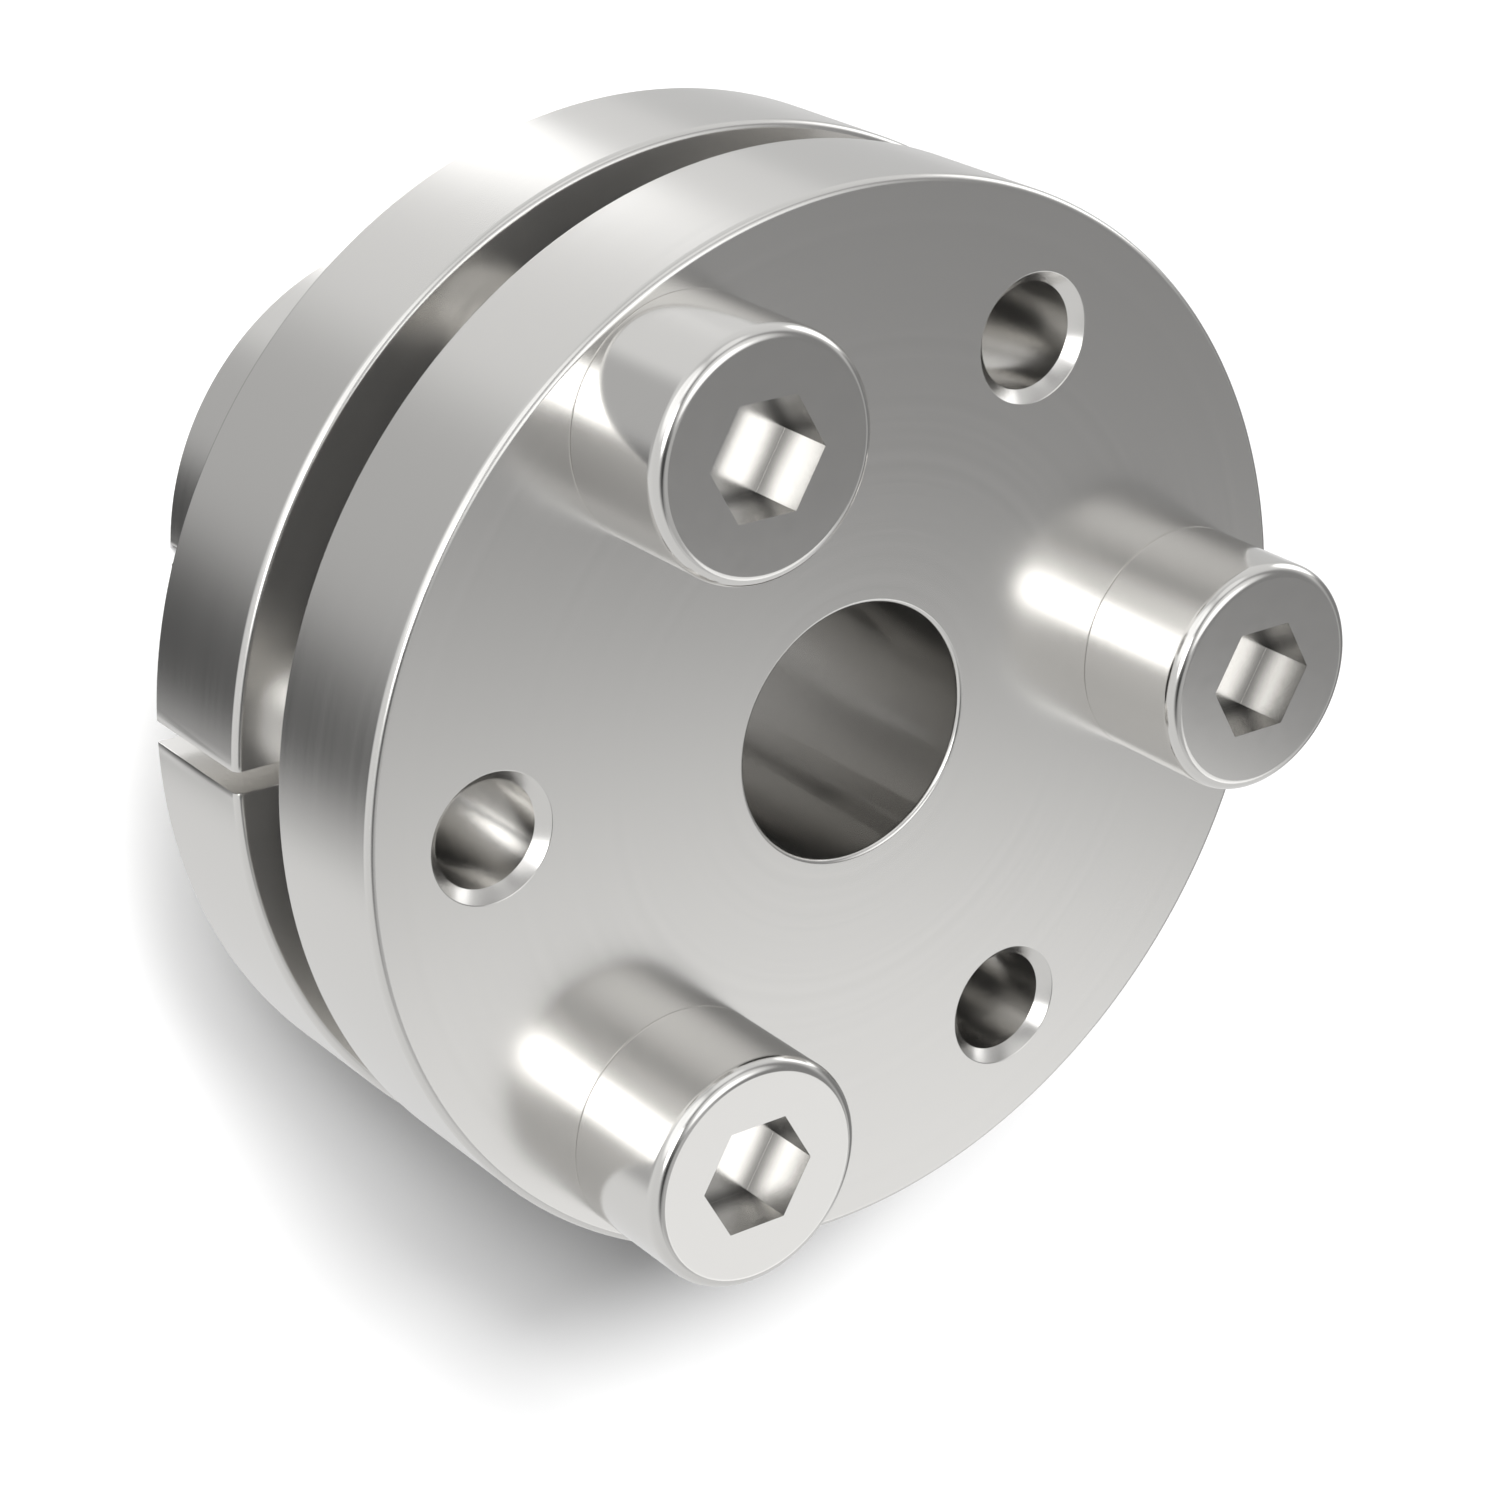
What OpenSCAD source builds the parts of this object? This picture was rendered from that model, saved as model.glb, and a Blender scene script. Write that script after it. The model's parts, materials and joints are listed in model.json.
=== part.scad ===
// Shaft locking assembly: a flanged inner ring with a slotted cone is drawn by three cap screws
// into a flanged outer ring with a matching taper and one slit through its wall.
// The inner ring then grips the shaft and the outer ring grips the bore of the hub.
// The frame stands on the sleeve's free end: +Z is the common axis and points out of the screw heads.

/* [Shaft and sleeve] */
// Diameter of the bore that takes the shaft
bore_d = 6; // [4:0.5:7]
// Outer diameter of the sleeve that fits the hub
sleeve_d = 14; // [13:0.5:15.5]
// Length of the sleeve behind the rear flange
sleeve_len = 9.6; // [7:0.1:16]
// Rounding of the bore's lip in the front face
bore_lip = 0.12; // [0.05:0.01:0.3]
// Lead chamfer at the sleeve's free end
sleeve_chamfer = 0.2; // [0.1:0.05:0.4]

/* [Flanges] */
// Outer diameter of both flanges
flange_d = 25; // [24.5:0.5:30]
// Thickness of the front flange, which carries the screw heads
front_flange_t = 3.6; // [2.5:0.1:5]
// Thickness of the rear flange, which is threaded for the screws
rear_flange_t = 3.5; // [2.5:0.1:4.5]
// Gap between the flanges with the tapers seated
flange_gap = 1.8; // [1.2:0.1:2.4]
// Rounding of each flange's front outer edge
flange_round = 0.18; // [0.1:0.02:0.4]
// Break of each flange's rear outer edge
edge_break = 0.05; // [0.02:0.01:0.15]
// Fillet where the cone and the sleeve meet their flanges
root_round = 0.2; // [0.1:0.05:0.4]

/* [Taper] */
// Angle between the taper and the axis
taper_angle = 4; // [3:0.25:5]
// Diameter of the outer ring's taper at the rear flange's front face
taper_mouth_d = 11; // [10.6:0.1:11.4]
// Radial play between the two tapers, each side
taper_play = 0.02; // [0.01:0.01:0.05]
// How far the cone's tip stays inside the sleeve's free end
tip_inset = 1; // [0.6:0.1:2]
// Chamfer at both ends of the outer ring's taper and at the cone's tip
taper_chamfer = 0.15; // [0.05:0.05:0.3]

/* [Slits] */
// Width of the one slit through the outer ring
outer_slit_w = 0.5; // [0.3:0.05:1]
// Number of slots in the cone
cone_slots = 3; // [2:1:4]
// Width of each slot in the cone
cone_slot_w = 0.6; // [0.4:0.05:0.9]
// Diameter of the relief hole at the closed end of each slot
relief_d = 1.2; // [1:0.1:1.6]
// Distance from the front flange to the centre of the relief holes
relief_set = 3.6; // [2.2:0.1:5]

/* [Screws] */
// Number of clamp screws, with as many jack holes between them
screw_count = 3; // [3:1:3]
// Diameter of the circle that the screws and the jack holes stand on
pitch_circle_d = 19; // [18.6:0.1:19.2]
// Outer diameter of the screw thread
thread_d = 3; // [2.5:0.1:3]
// Length of a screw under its head
screw_len = 8; // [7:0.5:9]
// Diameter of a screw head
head_d = 5.5; // [4.8:0.1:5.6]
// Height of a screw head
head_h = 3; // [2.4:0.1:3.4]
// Rounding of the head's top edge
head_round = 0.3; // [0.1:0.05:0.5]
// Break of the head's bottom edge
head_break = 0.05; // [0.02:0.01:0.1]
// Width across the flats of the hexagon socket
socket_af = 2.5; // [2:0.1:2.6]
// Depth of the hexagon socket
socket_depth = 1.35; // [1:0.05:1.8]
// Chamfer at a screw's tip
tip_chamfer = 0.35; // [0.2:0.05:0.5]
// Radial clearance round a screw in the front flange
screw_clearance = 0.1; // [0.06:0.01:0.2]
// Radial running clearance round a screw in the rear flange's thread
thread_clearance = 0.05; // [0.03:0.01:0.08]
// Core diameter of the jack holes
jack_core_d = 2.46; // [2:0.02:2.6]
// Chamfer at both mouths of each jack hole and each threaded hole
hole_chamfer = 0.27; // [0.1:0.01:0.35]

/* [Hidden] */
$fn = 96;
// How far a cutting shape runs past the face that it cuts
over = 1;
steel = [0.78, 0.77, 0.75];

// Heights of the faces, from the sleeve's free end
rear_flange_back = sleeve_len;
rear_flange_front = rear_flange_back + rear_flange_t;
front_flange_back = rear_flange_front + flange_gap;
front_face = front_flange_back + front_flange_t;
relief_z = front_flange_back - relief_set;

// Radii
bore_r = bore_d / 2;
sleeve_r = sleeve_d / 2;
flange_r = flange_d / 2;
pitch_r = pitch_circle_d / 2;
thread_r = thread_d / 2;
head_r = head_d / 2;
clear_hole_r = thread_r + screw_clearance;
threaded_hole_r = thread_r + thread_clearance;
jack_core_r = jack_core_d / 2;
// A circle through the socket's corners
socket_corner_r = socket_af / 2 / cos(30);

// Angles: the first screw stands on +X and a jack hole stands halfway to the next screw
screw_pitch_angle = 360 / screw_count;
jack_angle = screw_pitch_angle / 2;
// The slit of the outer ring passes under the jack hole opposite the first screw
slit_angle = 180;

// Radius of the outer ring's taper at a height, and of the cone that seats in it
function taper_r(z) = taper_mouth_d / 2 - (rear_flange_front - z) * tan(taper_angle);
function cone_r(z) = taper_r(z) - taper_play;

// Half section of a disc with its front outer edge rounded and its rear outer edge broken
module disc_section(r, low, high, round, chamfer) {
    translate([0, low + chamfer]) square([r, high - low - chamfer - round]);
    translate([0, low]) square([r - chamfer, high - low - round]);
    translate([0, high - round]) square([r - round, round]);
    translate([r - round, high - round]) circle(round);
    polygon([[r - chamfer, low], [r, low + chamfer], [r - chamfer, low + chamfer]]);
}

// Fillet in the corner between a shaft of radius r and the back of a flange above it
module root_section(r, z, round) {
    difference() {
        translate([r - round, z - round]) square([2 * round, 2 * round]);
        translate([r + round, z - round]) circle(round);
        translate([r, z - round - over]) square([round + over, over]);
    }
}

// Places its children at every screw, or at every jack hole, of the pitch circle
module on_pitch_circle(start) {
    for (i = [0 : screw_count - 1])
        rotate([0, 0, start + i * screw_pitch_angle]) translate([pitch_r, 0, 0]) children();
}

// A hole of radius r between two heights, with a chamfer at each mouth
module chamfered_hole(r, low, high) {
    translate([0, 0, low - over]) cylinder(r = r, h = high - low + 2 * over);
    translate([0, 0, high - hole_chamfer]) cylinder(r1 = r, r2 = r + hole_chamfer, h = hole_chamfer);
    translate([0, 0, high]) cylinder(r = r + hole_chamfer, h = over);
    translate([0, 0, low]) cylinder(r1 = r + hole_chamfer, r2 = r, h = hole_chamfer);
    translate([0, 0, low - over]) cylinder(r = r + hole_chamfer, h = over);
}

// Half section of the inner ring's flange and cone, before it is bored
module inner_outline() {
    disc_section(flange_r, front_flange_back, front_face, flange_round, edge_break);
    polygon([
        [0, tip_inset],
        [cone_r(tip_inset) - taper_chamfer, tip_inset],
        [cone_r(tip_inset + taper_chamfer), tip_inset + taper_chamfer],
        [cone_r(front_flange_back), front_flange_back],
        [cone_r(front_flange_back), front_flange_back + front_flange_t / 2],
        [0, front_flange_back + front_flange_t / 2]
    ]);
    root_section(cone_r(front_flange_back), front_flange_back, root_round);
}

// Half section of what the boring tool takes away, with a rounded lip in the front face
module bore_section() {
    square([bore_r, front_face + over]);
    polygon([
        [0, tip_inset],
        [bore_r + taper_chamfer, tip_inset],
        [bore_r, tip_inset + taper_chamfer],
        [0, tip_inset + taper_chamfer]
    ]);
    difference() {
        translate([0, front_face - bore_lip]) square([bore_r + bore_lip, bore_lip + over]);
        translate([bore_r + bore_lip, front_face - bore_lip]) circle(bore_lip);
    }
}

// One slot of the cone: it opens at the tip and ends in a round relief hole
module cone_slot() {
    slot_top = relief_z - tip_inset;
    reach = cone_r(front_flange_back) + over;
    translate([0, -cone_slot_w / 2, tip_inset - over]) cube([reach, cone_slot_w, slot_top + over]);
    translate([0, 0, relief_z]) rotate([0, 90, 0]) cylinder(d = relief_d, h = reach);
}

module inner_taper_ring() {
    color(steel)
    difference() {
        rotate_extrude()
        difference() {
            inner_outline();
            bore_section();
        }
        for (i = [0 : cone_slots - 1]) rotate([0, 0, slit_angle + i * 360 / cone_slots]) cone_slot();
        on_pitch_circle(0)
            translate([0, 0, front_flange_back - over]) cylinder(r = clear_hole_r, h = front_flange_t + 2 * over);
        on_pitch_circle(jack_angle) chamfered_hole(jack_core_r, front_flange_back, front_face);
    }
}

// Half section of the outer ring's flange and sleeve, before the taper is bored
module outer_outline() {
    disc_section(flange_r, rear_flange_back, rear_flange_front, flange_round, edge_break);
    polygon([
        [0, 0],
        [sleeve_r - sleeve_chamfer, 0],
        [sleeve_r, sleeve_chamfer],
        [sleeve_r, rear_flange_back + rear_flange_t / 2],
        [0, rear_flange_back + rear_flange_t / 2]
    ]);
    root_section(sleeve_r, rear_flange_back, root_round);
}

// Half section of the taper inside the outer ring, with a chamfer at each end
module taper_section() {
    polygon([
        [0, -over],
        [taper_r(0) + taper_chamfer, -over],
        [taper_r(0) + taper_chamfer, 0],
        [taper_r(taper_chamfer), taper_chamfer],
        [taper_r(rear_flange_front - taper_chamfer), rear_flange_front - taper_chamfer],
        [taper_r(rear_flange_front) + taper_chamfer, rear_flange_front],
        [taper_r(rear_flange_front) + taper_chamfer, rear_flange_front + over],
        [0, rear_flange_front + over]
    ]);
}

module outer_slit_ring() {
    color(steel)
    difference() {
        rotate_extrude()
        difference() {
            outer_outline();
            taper_section();
        }
        rotate([0, 0, slit_angle]) translate([0, -outer_slit_w / 2, -over])
            cube([flange_r + over, outer_slit_w, rear_flange_front + 2 * over]);
        on_pitch_circle(0) chamfered_hole(threaded_hole_r, rear_flange_back, rear_flange_front);
    }
}

// A cap screw with its seat at height 0: a corner of its socket points away from the common axis
module cap_screw() {
    difference() {
        rotate_extrude() {
            disc_section(head_r, 0, head_h, head_round, head_break);
            polygon([
                [0, -screw_len],
                [thread_r - tip_chamfer, -screw_len],
                [thread_r, tip_chamfer - screw_len],
                [thread_r, head_h / 2],
                [0, head_h / 2]
            ]);
        }
        translate([0, 0, head_h - socket_depth])
            cylinder(r = socket_corner_r, h = socket_depth + over, $fn = 6);
    }
}

// The screw of a given place on the pitch circle, seated on the front face
module clamp_screw(place) {
    color(steel)
    rotate([0, 0, place * screw_pitch_angle]) translate([pitch_r, 0, front_face]) cap_screw();
}

inner_taper_ring();
outer_slit_ring();
clamp_screw(0);  // clamp_screw_1
clamp_screw(1);  // clamp_screw_2
clamp_screw(2);  // clamp_screw_3
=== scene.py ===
import json
import math

import bpy
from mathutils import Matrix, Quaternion, Vector


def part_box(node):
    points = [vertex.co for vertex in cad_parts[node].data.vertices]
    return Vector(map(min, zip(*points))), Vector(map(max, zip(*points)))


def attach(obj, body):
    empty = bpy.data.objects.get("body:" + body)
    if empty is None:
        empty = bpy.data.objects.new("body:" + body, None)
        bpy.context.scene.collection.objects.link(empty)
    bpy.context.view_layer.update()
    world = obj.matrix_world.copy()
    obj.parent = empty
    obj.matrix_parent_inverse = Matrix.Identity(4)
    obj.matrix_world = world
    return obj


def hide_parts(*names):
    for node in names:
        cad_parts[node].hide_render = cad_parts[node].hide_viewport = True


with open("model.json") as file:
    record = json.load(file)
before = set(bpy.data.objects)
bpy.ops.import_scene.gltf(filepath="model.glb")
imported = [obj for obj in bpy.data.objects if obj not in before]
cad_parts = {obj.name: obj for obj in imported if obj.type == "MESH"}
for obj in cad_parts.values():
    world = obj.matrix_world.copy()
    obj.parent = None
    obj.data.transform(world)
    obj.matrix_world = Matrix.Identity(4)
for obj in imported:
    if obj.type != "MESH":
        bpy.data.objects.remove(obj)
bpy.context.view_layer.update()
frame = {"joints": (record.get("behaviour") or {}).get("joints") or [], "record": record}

# The view
# The camera looks down on the screw heads from beyond the slit. It is rolled, so that the axis of the
# part runs from the sleeve at the upper left of the picture to the heads at the lower right.
camera_place = Vector((-0.04793, 0.033648, 0.078481))
camera_aim = Vector((-0.00023, -0.001631, 0.015))
camera_roll = math.radians(119.118)
camera_lens = 91.071

camera_data = bpy.data.cameras.new("camera")
camera_data.sensor_width = 36
camera_data.lens = camera_lens
camera_data.clip_start = 0.005
camera_data.clip_end = 10
camera = bpy.data.objects.new("camera", camera_data)
bpy.context.scene.collection.objects.link(camera)
camera.location = camera_place
camera.rotation_mode = "QUATERNION"
camera_turn = (camera_aim - camera_place).to_track_quat("-Z", "Y")
camera.rotation_quaternion = camera_turn @ Quaternion((0, 0, 1), camera_roll)
bpy.context.scene.camera = camera

# The inner taper ring
# One turned piece of stainless steel: the front flange that the screws press on, and behind it the
# slotted cone that closes on the shaft. It has three clearance holes and three chamfered jack holes.
mm = 0.001
mounts = {mount["name"]: mount for mount in frame["record"]["mounts"]}
joints = {joint["name"]: joint for joint in frame["joints"]}
ring_low, ring_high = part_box("inner_taper_ring")
cone_tip = ring_low.z
front_face = ring_high.z
front_flange_back = front_face - 3.6 * mm
rear_flange_front = front_flange_back - 1.8 * mm
flange_r = ring_high.x
bore_r = mounts["bore"]["dims"]["r_mm"] * mm
jack_r = mounts["jack_holes"]["dims"]["hole_r_mm"] * mm
pitch_r = mounts["jack_holes"]["dims"]["pcd_mm"] * mm / 2
clearance_r = 1.6 * mm
flange_round = 0.18 * mm
flange_break = 0.05 * mm
root_round = 0.2 * mm
bore_lip = 0.12 * mm
hole_chamfer = 0.27 * mm
hole_break = 0.04 * mm
taper_mouth_r = 5.5 * mm
taper_slope = math.tan(math.radians(4))
taper_play = 0.02 * mm
taper_chamfer = 0.15 * mm
slot_w = 0.6 * mm
relief_r = 0.6 * mm
relief_height = front_flange_back - 3.6 * mm
saw_middle_r = 5 * mm
saw_length = 6 * mm
over = 1 * mm
tiny = 0.002 * mm
turned_sides = 384
drilled_sides = 96
relief_sides = 48
third = math.radians(120)
sharpest_smooth = math.radians(31)
centre_height = 0.985


def taper_r(height):
    """Radius of the outer ring's taper at a height."""
    return taper_mouth_r - (rear_flange_front - height) * taper_slope


def cone_r(height):
    """Radius of the inner ring's cone at a height."""
    return taper_r(height) - taper_play


def on_pitch_circle(place, radius=pitch_r):
    """Centre of a screw, or of a jack hole at a half place."""
    return (radius * math.cos(place * third), radius * math.sin(place * third))


def arc(radius, height, round_r, start, end, steps):
    """Points of a rounding in an outline, with angles in degrees from straight outwards."""
    turns = [math.radians(start + (end - start) * step / steps) for step in range(steps + 1)]
    return [(radius + round_r * math.cos(turn), height + round_r * math.sin(turn)) for turn in turns]


def mouth(radius, height, chamfer, break_r):
    """End of a drill's outline that chamfers a hole at 45 degrees and breaks its edge with the face.

    The rounding's centre is a hair less than its radius below the face, so that it cuts right through.
    """
    centre = radius + chamfer + break_r * math.tan(math.radians(45 / 2))
    return [
        (radius, height - chamfer),
        *arc(centre, height - centre_height * break_r, break_r, 135, 90, 3),
        (centre, height + over),
    ]


def place_by_hand(piece, name):
    """Names a piece and puts its place into its mesh."""
    piece.name = name
    bpy.ops.object.transform_apply(location=True, rotation=True, scale=True)
    return piece


def turn(name, outline, sides=turned_sides, centre=(0, 0)):
    """Turns a solid from its outline, which gives radius and height from the bottom to the top."""
    radius, height = outline[0]
    bpy.ops.object.select_all(action="DESELECT")
    bpy.ops.mesh.primitive_circle_add(vertices=sides, radius=radius, fill_type="NGON",
                                      location=(*centre, height))
    bpy.ops.object.mode_set(mode="EDIT")
    for next_radius, next_height in outline[1:]:
        bpy.ops.mesh.extrude_region_move(TRANSFORM_OT_translate={"value": (0, 0, next_height - height)})
        growth = next_radius / radius
        bpy.ops.transform.resize(value=(growth, growth, 1), center_override=(*centre, next_height))
        radius, height = next_radius, next_height
    bpy.ops.mesh.select_all(action="SELECT")
    bpy.ops.mesh.normals_make_consistent(inside=False)
    bpy.ops.object.mode_set(mode="OBJECT")
    return place_by_hand(bpy.context.object, name)


def join(pieces):
    """Makes one object of several that don't touch."""
    bpy.ops.object.select_all(action="DESELECT")
    for piece in pieces:
        piece.select_set(True)
    bpy.context.view_layer.objects.active = pieces[0]
    bpy.ops.object.join()
    return pieces[0]


def combine(piece, other, operation="DIFFERENCE"):
    """Cuts a piece with another solid, or adds the solid to it, and uses the other one up."""
    bpy.context.view_layer.objects.active = piece
    boolean = piece.modifiers.new("combine", "BOOLEAN")
    boolean.operation = operation
    boolean.solver = "EXACT"
    boolean.object = other
    bpy.ops.object.modifier_apply(modifier=boolean.name)
    bpy.data.objects.remove(other)


def smooth_walls(piece):
    """Smooths the round walls and keeps the flat faces flat up to their edges.

    The threshold is a difference between the areas of faces, in square metres, so it is tiny.
    """
    bpy.ops.object.select_all(action="DESELECT")
    piece.select_set(True)
    bpy.context.view_layer.objects.active = piece
    bpy.ops.object.shade_smooth_by_angle(angle=sharpest_smooth)
    weights = piece.modifiers.new("weights", "WEIGHTED_NORMAL")
    weights.weight = 100
    weights.thresh = 1e-9
    weights.keep_sharp = True
    bpy.ops.object.modifier_apply(modifier=weights.name)


inner_ring = turn("inner_ring_turned", [
    (cone_r(cone_tip) - taper_chamfer, cone_tip),
    (cone_r(cone_tip + taper_chamfer), cone_tip + taper_chamfer),
    *arc(cone_r(front_flange_back) + root_round, front_flange_back - root_round, root_round, 180, 90, 6),
    *arc(flange_r - flange_break, front_flange_back + flange_break, flange_break, -90, 0, 3),
    *arc(flange_r - flange_round, front_face - flange_round, flange_round, 0, 90, 8),
])
tools = [turn("bore_tool", [
    (bore_r + taper_chamfer, cone_tip - over),
    (bore_r + taper_chamfer, cone_tip),
    (bore_r, cone_tip + taper_chamfer),
    *arc(bore_r + bore_lip, front_face - centre_height * bore_lip, bore_lip, 180, 90, 6),
    (bore_r + bore_lip, front_face + over),
], turned_sides // 2)]
for place in range(3):
    tools.append(turn("clearance_drill", [
        (clearance_r, front_flange_back - over),
        (clearance_r, front_face + over),
    ], drilled_sides, on_pitch_circle(place)))
    tools.append(turn("jack_drill", [
        (jack_r + hole_chamfer, front_flange_back - over),
        (jack_r + hole_chamfer, front_flange_back),
        (jack_r, front_flange_back + hole_chamfer),
        *mouth(jack_r, front_face, hole_chamfer, hole_break),
    ], drilled_sides, on_pitch_circle(place + 0.5)))
combine(inner_ring, join(tools))
saws = []
drills = []
slot_low = cone_tip - over
slot_depth = relief_height - slot_low
for place in range(3):
    middle = on_pitch_circle(place + 1.5, saw_middle_r)
    bearing = (place + 1.5) * third
    bpy.ops.object.select_all(action="DESELECT")
    bpy.ops.mesh.primitive_cube_add(
        size=1, location=(*middle, (slot_low + relief_height) / 2), rotation=(0, 0, bearing),
        scale=(saw_length, slot_w, slot_depth))
    saws.append(place_by_hand(bpy.context.object, "slot_saw"))
    bpy.ops.object.select_all(action="DESELECT")
    bpy.ops.mesh.primitive_cylinder_add(
        vertices=relief_sides, radius=relief_r, depth=saw_length, location=(*middle, relief_height),
        rotation=(0, math.pi / 2, bearing))
    drills.append(place_by_hand(bpy.context.object, "relief_drill"))
combine(inner_ring, join(saws))
combine(inner_ring, join(drills))
smooth_walls(inner_ring)

# The steel of both rings
# Stainless bar, fine turned and then satin polished, so the tool's rings only just show. On the walls
# of the gap it is a trace less metallic, which lifts their tone to that of the photograph.
steel_colour = (0.78, 0.77, 0.75)
turned_lines = 4000
bump_depth = 0.02 * mm
gap_lift = 0.03


class Socket:
    """A shader value that can be used in Python expressions."""

    def __init__(self, tree, link):
        self.tree = tree
        self.link = link

    def math(self, operation, other=None):
        node = self.tree.nodes.new("ShaderNodeMath")
        node.operation = operation
        for place, value in enumerate((self, other)):
            if isinstance(value, Socket):
                self.tree.links.new(value.link, node.inputs[place])
            elif value is not None:
                node.inputs[place].default_value = value
        return Socket(self.tree, node.outputs[0])

    def __add__(self, other):
        return self.math("ADD", other)

    def __mul__(self, other):
        return self.math("MULTIPLY", other)

    def __sub__(self, other):
        return self.math("SUBTRACT", other)

    def __rsub__(self, other):
        return self * -1.0 + other

    def __gt__(self, other):
        return self.math("GREATER_THAN", other)

    def __lt__(self, other):
        return self.math("LESS_THAN", other)

    __radd__ = __add__
    __rmul__ = __mul__


class Nodes:
    """A node tree with one method that adds any node but plain maths."""

    def __init__(self, tree):
        self.tree = tree

    def ramp(self, value, low, high, at_low, at_high):
        return self.node("ShaderNodeMapRange", {"interpolation_type": "SMOOTHSTEP"}, {
            "Value": value, "From Min": low, "From Max": high, "To Min": at_low, "To Max": at_high})

    def node(self, kind, settings, values, output=0):
        node = self.tree.nodes.new(kind)
        for name, value in settings.items():
            setattr(node, name, value)
        for place, value in values.items():
            if isinstance(value, Socket):
                self.tree.links.new(value.link, node.inputs[place])
            else:
                node.inputs[place].default_value = value
        return Socket(self.tree, node.outputs[output])


class Finish(Nodes):
    """A material on a Principled shader."""

    def __init__(self, name, colour, roughness, metallic=1.0):
        self.material = bpy.data.materials.new(name)
        self.material.use_nodes = True
        super().__init__(self.material.node_tree)
        self.shader = self.tree.nodes["Principled BSDF"]
        self.shader.inputs["Base Color"].default_value = (*colour, 1)
        self.shader.inputs["Roughness"].default_value = roughness
        self.shader.inputs["Metallic"].default_value = metallic

    def feed(self, name, value):
        self.tree.links.new(value.link, self.shader.inputs[name])

    def dress(self, piece):
        piece.data.materials.clear()
        piece.data.materials.append(self.material)


def turned_pattern(finish, lines_per_metre):
    """Noise that depends only on the distance from the axis and the height, as a lathe leaves it."""
    place = finish.node("ShaderNodeTexCoord", {}, {}, "Object")
    x, y, z = (finish.node("ShaderNodeSeparateXYZ", {}, {0: place}, axis) for axis in "XYZ")
    reach = (x * x + y * y).math("SQRT")
    along = finish.node("ShaderNodeCombineXYZ", {}, {
        "X": reach * lines_per_metre, "Y": z * lines_per_metre})
    return finish.node("ShaderNodeTexNoise", {"noise_dimensions": "2D"}, {
        "Vector": along, "Scale": 1.0, "Detail": 2.0})


ring_finish = Finish("ring_steel", steel_colour, 0.24)
ring_lines = turned_pattern(ring_finish, turned_lines)
ring_finish.feed("Roughness", ring_lines * 0.04 + 0.2)
ring_place = ring_finish.node("ShaderNodeTexCoord", {}, {}, "Object")
x, y, z = (ring_finish.node("ShaderNodeSeparateXYZ", {}, {0: ring_place}, axis) for axis in "XYZ")
outside_bore = x * x + y * y > (bore_r + 1 * mm) ** 2
in_gap = (z > rear_flange_front - tiny) * (z < front_flange_back + tiny) * outside_bore
ring_finish.feed("Metallic", 1 - in_gap * gap_lift)
ring_finish.feed("Normal", ring_finish.node("ShaderNodeBump", {}, {
    "Height": ring_lines, "Strength": 0.02, "Distance": bump_depth}))
ring_finish.dress(inner_ring)
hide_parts("inner_taper_ring")
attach(inner_ring, "inner_ring")

# The outer slit ring
# One turned piece of the same steel: the rear flange that is threaded for the screws, and the sleeve
# with a taper inside. One slit runs through its wall from end to end, so that it can open in the hub.
sleeve_r = mounts["sleeve_outside"]["dims"]["r_mm"] * mm
rear_flange_back = mounts["hub_shoulder"]["pos_m"][2]
sleeve_chamfer = 0.2 * mm
outer_slit_w = 0.5 * mm
slit_break = 0.02 * mm
thread_pitch = 0.5 * mm
tapped_r = 1.24 * mm
tap_crest_r = 1.53 * mm
tap_crest_w = 0.09 * mm
tap_turns = 9
thread_steps = 48
sunk = 0.05 * mm


def thread_ridge(name, root_r, crest_r, crest_w, low, turns, centre):
    """One closed right-handed helical ridge with flanks at 60 degrees, for a tap or a screw."""
    root_w = crest_w + 2 * (crest_r - root_r) * math.tan(math.radians(30))
    middle = (root_r + crest_r) / 2
    bpy.ops.object.select_all(action="DESELECT")
    bpy.ops.mesh.primitive_plane_add(size=1, location=(middle, 0, low), rotation=(math.pi / 2, 0, 0))
    ridge = bpy.context.object
    ridge.scale = (crest_r - root_r, root_w, 1)
    place_by_hand(ridge, name)
    for vertex in ridge.data.vertices:
        vertex.select = vertex.co.x > middle
    for edge in ridge.data.edges:
        edge.select = all(ridge.data.vertices[i].select for i in edge.vertices)
    for face in ridge.data.polygons:
        face.select = False
    bpy.ops.object.mode_set(mode="EDIT")
    bpy.ops.transform.resize(value=(1, 1, crest_w / root_w), center_override=(crest_r, 0, low))
    bpy.ops.mesh.select_all(action="SELECT")
    bpy.ops.mesh.delete(type="ONLY_FACE")
    bpy.ops.object.mode_set(mode="OBJECT")
    helix = ridge.modifiers.new("helix", "SCREW")
    helix.screw_offset = thread_pitch
    helix.iterations = turns
    helix.steps = thread_steps
    helix.render_steps = thread_steps
    bpy.ops.object.modifier_apply(modifier=helix.name)
    bpy.ops.object.mode_set(mode="EDIT")
    bpy.ops.mesh.select_mode(type="EDGE")
    bpy.ops.mesh.select_all(action="DESELECT")
    bpy.ops.mesh.select_non_manifold()
    bpy.ops.mesh.fill_holes(sides=4)
    bpy.ops.mesh.select_all(action="SELECT")
    bpy.ops.mesh.normals_make_consistent(inside=False)
    bpy.ops.transform.translate(value=(*centre, 0))
    bpy.ops.object.mode_set(mode="OBJECT")
    return ridge


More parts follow.
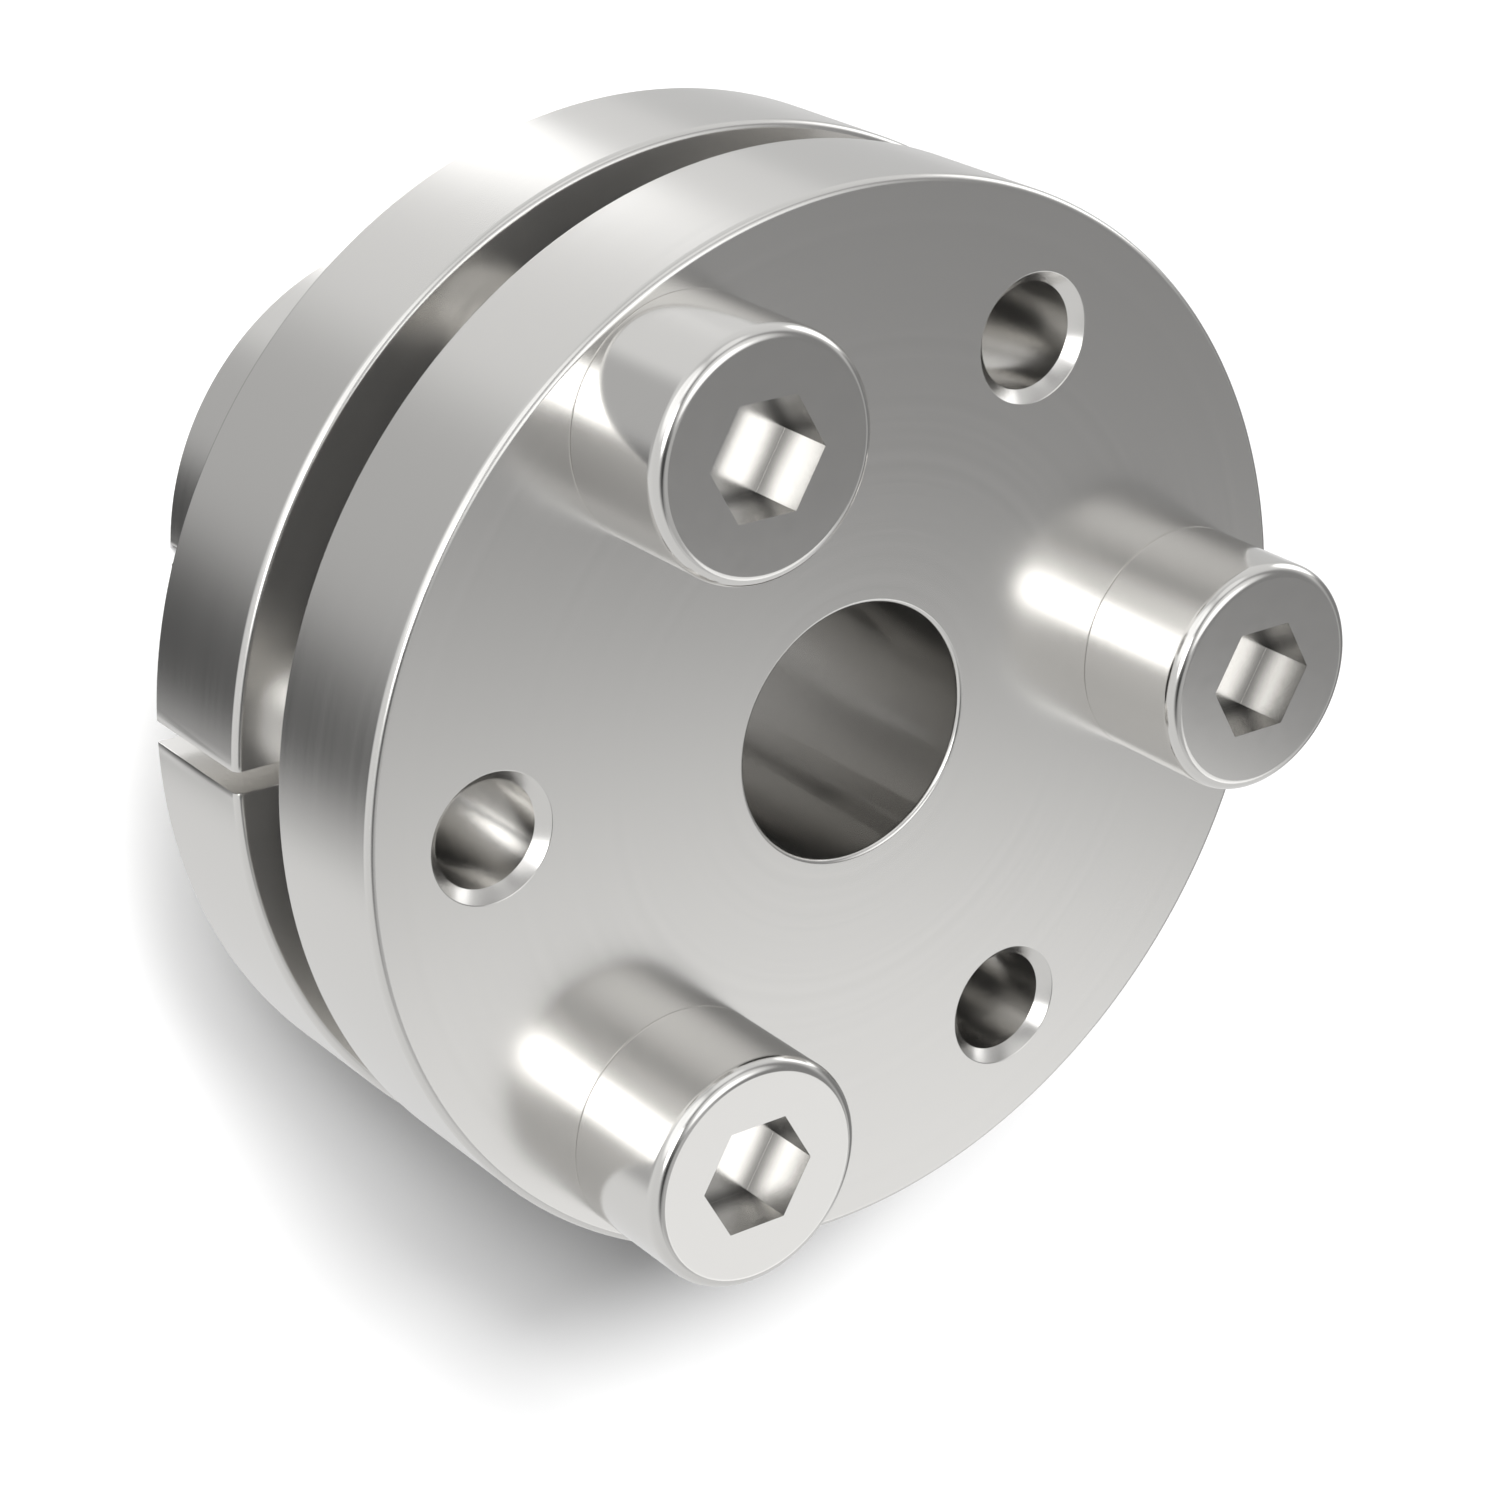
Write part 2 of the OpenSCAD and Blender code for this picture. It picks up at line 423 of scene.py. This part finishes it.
def break_edges(piece, wanted, width):
    """Takes the sharpness off the sharp edges whose two ends both pass a test."""
    bpy.ops.object.select_all(action="DESELECT")
    piece.select_set(True)
    bpy.context.view_layer.objects.active = piece
    bpy.ops.object.mode_set(mode="EDIT")
    bpy.ops.mesh.select_mode(type="EDGE")
    bpy.ops.mesh.select_all(action="DESELECT")
    bpy.ops.mesh.edges_select_sharp(sharpness=sharpest_smooth)
    bpy.ops.object.mode_set(mode="OBJECT")
    points = piece.data.vertices
    for edge in piece.data.edges:
        edge.select = edge.select and all(wanted(points[i].co) for i in edge.vertices)
    bpy.ops.object.mode_set(mode="EDIT")
    bpy.ops.mesh.bevel(offset=width, segments=2, clamp_overlap=False)
    bpy.ops.object.mode_set(mode="OBJECT")


def in_slit(angle, width):
    """Makes a test for the points of the two walls of a slit that runs outwards at an angle."""
    def test(point):
        along = point.x * math.cos(angle) + point.y * math.sin(angle)
        across = point.y * math.cos(angle) - point.x * math.sin(angle)
        return along > 0 and abs(abs(across) - width / 2) < tiny
    return test


outer_ring = turn("outer_ring_turned", [
    (sleeve_r - sleeve_chamfer, 0),
    (sleeve_r, sleeve_chamfer),
    *arc(sleeve_r + root_round, rear_flange_back - root_round, root_round, 180, 90, 6),
    *arc(flange_r - flange_break, rear_flange_back + flange_break, flange_break, -90, 0, 3),
    *arc(flange_r - flange_round, rear_flange_front - flange_round, flange_round, 0, 90, 8),
])
tools = [turn("taper_tool", [
    (taper_r(0) + taper_chamfer, -over),
    (taper_r(0) + taper_chamfer, 0),
    (taper_r(taper_chamfer), taper_chamfer),
    (taper_r(rear_flange_front - taper_chamfer), rear_flange_front - taper_chamfer),
    (taper_r(rear_flange_front) + taper_chamfer, rear_flange_front),
    (taper_r(rear_flange_front) + taper_chamfer, rear_flange_front + over),
], turned_sides // 2)]
taps = []
for place in range(3):
    tools.append(turn("tap_drill", [
        (tapped_r + hole_chamfer, rear_flange_back - over),
        (tapped_r + hole_chamfer, rear_flange_back),
        (tapped_r, rear_flange_back + hole_chamfer),
        *mouth(tapped_r, rear_flange_front, hole_chamfer, hole_break),
    ], drilled_sides, on_pitch_circle(place)))
tap = thread_ridge("tap", tapped_r - sunk, tap_crest_r, tap_crest_w, rear_flange_back - thread_pitch,
                   tap_turns, (pitch_r, 0))
for place in range(3):
    bpy.ops.object.select_all(action="DESELECT")
    tap.select_set(True)
    bpy.context.view_layer.objects.active = tap
    bpy.ops.object.duplicate()
    bpy.context.object.rotation_euler.z = place * third
    taps.append(place_by_hand(bpy.context.object, "tap_turned"))
bpy.data.objects.remove(tap)
combine(outer_ring, join(tools))
combine(outer_ring, join(taps))
bpy.ops.object.select_all(action="DESELECT")
bpy.ops.mesh.primitive_cube_add(
    size=1, location=(-flange_r / 2 - over, 0, rear_flange_front / 2),
    scale=(flange_r + 2 * over, outer_slit_w, rear_flange_front + 2 * over))
combine(outer_ring, place_by_hand(bpy.context.object, "slit_saw"))
break_edges(outer_ring, in_slit(math.pi, outer_slit_w), slit_break)
smooth_walls(outer_ring)
ring_finish.dress(outer_ring)
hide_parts("outer_slit_ring")
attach(outer_ring, "outer_ring")

# The three clamp screws
# M3 socket head cap screws of stainless steel, cold headed and tumbled, so they are shinier than the
# rings. One is modelled on +X and copied. Inside its socket, shade is painted into the colour, darker
# towards the foot of the walls and the rim of the floor, with tones set to the photograph's.
screw_low, screw_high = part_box("clamp_screw_1")
screw_tip = screw_low.z
head_top = screw_high.z
head_seat = joints["screw_1_turn"]["pos_m"][2]
head_r = (screw_high.y - screw_low.y) / 2
head_round = 0.3 * mm
head_break = 0.02 * mm
screw_spot = on_pitch_circle(0)
thread_crest_r = 1.48 * mm
thread_root_r = 1.2 * mm
thread_crest_w = 0.055 * mm
thread_top = head_seat - 1.2 * mm
tip_chamfer = 0.35 * mm
socket_flat_r = 1.25 * mm
socket_corner_r = socket_flat_r / math.cos(math.radians(30))
socket_floor = head_top - 1.35 * mm
lit_depth = 0.7 * mm
foot_shade = 0.22
lip_shade = 0.72
floor_rim_shade = 0.8
head_sides = 192
shank_sides = 64

# The two plain rings between the head's roundings keep the normals of its barrel level.
screw = turn("screw_1_headed", [
    (head_r - head_break, head_seat),
    *arc(head_r - head_break, head_seat + head_break, head_break, -90, 0, 3)[1:],
    (head_r, head_seat + 2 * head_break),
    (head_r, head_top - head_round - head_break),
    *arc(head_r - head_round, head_top - head_round, head_round, 0, 90, 12),
], head_sides, screw_spot)
bpy.ops.object.select_all(action="DESELECT")
bpy.ops.mesh.primitive_cylinder_add(
    vertices=6, radius=socket_corner_r, depth=2 * (head_top - socket_floor),
    location=(*screw_spot, head_top), rotation=(0, 0, math.pi / 2))
combine(screw, place_by_hand(bpy.context.object, "broach"))
thread_depth = thread_crest_r - thread_root_r
shank = turn("shank", [
    (thread_crest_r - tip_chamfer, screw_tip),
    (thread_root_r, screw_tip + tip_chamfer - thread_depth),
    (thread_root_r, thread_top),
    (thread_crest_r, thread_top + thread_depth),
    (thread_crest_r, (head_seat + socket_floor) / 2),
], shank_sides, screw_spot)
envelope = turn("envelope", [
    (thread_crest_r - tip_chamfer, screw_tip),
    (thread_crest_r, screw_tip + tip_chamfer),
    (thread_crest_r, thread_top),
    (thread_root_r, thread_top + thread_depth),
], shank_sides, screw_spot)
turns = math.ceil((thread_top - screw_tip) / thread_pitch) + 1
phase = (screw_tip - rear_flange_back) % thread_pitch
ridge = thread_ridge("chased_thread", thread_root_r - sunk, thread_crest_r + 0.02 * mm,
                     thread_crest_w, screw_tip - phase, turns, screw_spot)
combine(ridge, envelope, "INTERSECT")
combine(shank, ridge, "UNION")
combine(screw, shank, "UNION")
smooth_walls(screw)

screw_finish = Finish("screw_steel", steel_colour, 0.16)
screw_place = screw_finish.node("ShaderNodeTexCoord", {}, {}, "Object")
screw_grain = screw_finish.node("ShaderNodeTexNoise", {}, {
    "Vector": screw_place, "Scale": 3000.0, "Detail": 3.0})
x, y, z = (screw_finish.node("ShaderNodeSeparateXYZ", {}, {0: screw_place}, axis) for axis in "XYZ")
plan = screw_finish.node("ShaderNodeCombineXYZ", {}, {"X": x, "Y": y})
reach = None
for place in range(3):
    spot = screw_finish.node("ShaderNodeVectorMath", {"operation": "DISTANCE"}, {
        0: plan, 1: (*on_pitch_circle(place), 0)}, "Value")
    reach = spot if reach is None else reach.math("MINIMUM", spot)
in_socket = (reach < socket_corner_r + sunk) * (z > socket_floor - tiny) * (z < head_top - tiny)
on_wall = z > socket_floor + tiny
# Painted shade: the socket's walls are darkened, most at their foot, and its floor towards its rim,
# where shade falls in the recess.
wall_shade = screw_finish.ramp(z, socket_floor, socket_floor + lit_depth, foot_shade, lip_shade)
socket_floor_shade = screw_finish.ramp(reach, 0.9 * mm, 1.3 * mm, 1.0, floor_rim_shade)
socket_shade = on_wall * wall_shade + (1 - on_wall) * socket_floor_shade
screw_finish.feed("Base Color", screw_finish.node("ShaderNodeMix", {"data_type": "RGBA"}, {
    0: in_socket * socket_shade + (1 - in_socket), 6: (0, 0, 0, 1), 7: (*steel_colour, 1)}, 2))
screw_finish.feed("Roughness", screw_grain * 0.04 + in_socket * 0.06 + 0.12)
screw_finish.dress(screw)
for place in range(3):
    number = place + 1
    if place == 0:
        copy = screw
    else:
        bpy.ops.object.select_all(action="DESELECT")
        screw.select_set(True)
        bpy.context.view_layer.objects.active = screw
        bpy.ops.object.duplicate()
        copy = bpy.context.object
        copy.rotation_euler.z = place * third
        place_by_hand(copy, f"screw_{number}_headed")
for place in range(3):
    number = place + 1
    piece = bpy.data.objects[f"screw_{number}_headed"]
    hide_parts(f"clamp_screw_{number}")
    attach(piece, f"screw_{number}")

# The stage
# A white floor that the sleeve stands on, and two soft lamps close together that cast its shadow. The
# metal sees neither: through the floor too it sees a pale room, whose panels and darker gaps are set to
# the photograph's reflections, and only the spot under the bore is painted half dark, as painted shade
# under the part.
floor_white = (0.95, 0.95, 0.95)
floor_lift = 0.04
under_bore_shade = 0.5
sky_foot = 0.77
sky_top = 0.72
darkest = 0.03
kept_off_floor = 0.95
bpy.ops.object.select_all(action="DESELECT")
bpy.ops.mesh.primitive_plane_add(size=6, location=(0, 0, 0))
floor = bpy.context.object
floor.name = "floor"
floor_material = bpy.data.materials.new("floor_white")
floor_material.use_nodes = True
floor_nodes = Nodes(floor_material.node_tree)
camera_ray, glossy_ray = (
    floor_nodes.node("ShaderNodeLightPath", {}, {}, f"Is {ray} Ray") for ray in ("Camera", "Glossy"))
paint = floor_nodes.node("ShaderNodeBsdfDiffuse", {}, {"Color": (*floor_white, 1)})
lift = floor_nodes.node("ShaderNodeEmission", {}, {"Strength": camera_ray * floor_lift})
surface = floor_nodes.node("ShaderNodeAddShader", {}, {0: paint, 1: lift})
floor_place = floor_nodes.node("ShaderNodeTexCoord", {}, {}, "Object")
from_axis = floor_nodes.node("ShaderNodeVectorMath", {"operation": "LENGTH"}, {0: floor_place}, "Value")
# Painted shade: glossy rays see the floor under the bore half black, standing for the shade under the
# part.
under = floor_nodes.ramp(from_axis, bore_r, 2 * bore_r, under_bore_shade, 0.0)
clear = floor_nodes.node("ShaderNodeBsdfTransparent", {}, {})
dark = floor_nodes.node("ShaderNodeBsdfDiffuse", {}, {"Color": (0, 0, 0, 1)})
mirrored = floor_nodes.node("ShaderNodeMixShader", {}, {0: under, 1: clear, 2: dark})
surface = floor_nodes.node("ShaderNodeMixShader", {}, {0: glossy_ray, 1: surface, 2: mirrored})
floor_nodes.tree.links.new(surface.link, floor_nodes.tree.nodes["Material Output"].inputs["Surface"])
floor.data.materials.append(floor_material)


def towards(azimuth, elevation):
    """Unit vector at an azimuth from +X and an elevation, both in degrees."""
    across, up = math.radians(azimuth), math.radians(elevation)
    return Vector((math.cos(across) * math.cos(up), math.sin(across) * math.cos(up), math.sin(up)))


for name, azimuth, elevation, width, strength in (
    ("lamp_high", 116, 47, 10, 2.35),
    ("lamp_low", 130, 43, 13, 2.5),
):
    lamp = bpy.data.lights.new(name, "SUN")
    lamp.angle = math.radians(width)
    lamp.energy = strength
    lamp_stand = bpy.data.objects.new(name, lamp)
    lamp_stand.rotation_mode = "QUATERNION"
    lamp_stand.rotation_quaternion = (-towards(azimuth, elevation)).to_track_quat("-Z", "Y")
    lamp_stand.visible_glossy = False
    bpy.context.scene.collection.objects.link(lamp_stand)

world = bpy.data.worlds.new("studio")
bpy.context.scene.world = world
world.use_nodes = True
studio = Nodes(world.node_tree)
bearing = studio.node("ShaderNodeTexCoord", {}, {}, "Generated")
height = studio.node("ShaderNodeSeparateXYZ", {}, {0: bearing}, "Z")
level = studio.ramp(height, -0.5, 0.3, sky_foot, sky_top)
# Each panel's azimuth, elevation, radius to full strength, radius where it ends, and change of level.
for azimuth, elevation, full, none, change in (
    (56, -63, 8, 11, 1.6),
    (204, -62, 1, 19, -0.62),
    (165, -52, 20, 32, -0.27),
    (16, -34, 19, 22, -0.17),
    (0, -90, 12, 24, -0.65),
    (13, 74, 38, 60, -0.47),
    (59, 65, 15, 33, 0.68),
    (312, 39, 11, 13, 0.71),
    (162, 51, 9, 16, 3.0),
    (225, 64, 8, 24, -0.2),
    (85, 20, 10, 20, 0.35),
    (43, 73, 13, 20, 0.6),
    (137, 18, 20, 34, 0.6),
    (288, 61, 18, 21, 0.23),
    (24, -1, 15, 19, 0.9),
    (116, 35, 6, 14, 0.2),
    (105, 18, 1, 44, -0.15),
    (343, -2, 16, 30, -0.5),
):
    along = studio.node("ShaderNodeVectorMath", {"operation": "DOT_PRODUCT"}, {
        0: bearing, 1: towards(azimuth, elevation)}, "Value")
    edge, middle = (math.cos(math.radians(turn_away)) for turn_away in (none, full))
    level = level + studio.ramp(along, edge, middle, 0.0, change)
diffused = studio.node("ShaderNodeLightPath", {}, {}, "Is Diffuse Ray")
level = level.math("MAXIMUM", darkest) * (1 - diffused * kept_off_floor)
seen = studio.node("ShaderNodeLightPath", {}, {}, "Is Camera Ray")
light = studio.node("ShaderNodeMix", {"data_type": "FLOAT"}, {0: seen, 2: level, 3: 1.0})
studio.tree.links.new(light.link, studio.tree.nodes["Background"].inputs["Strength"])
studio.tree.nodes["Background"].inputs["Color"].default_value = (1, 1, 1, 1)

bpy.context.scene.view_settings.view_transform = "Standard"
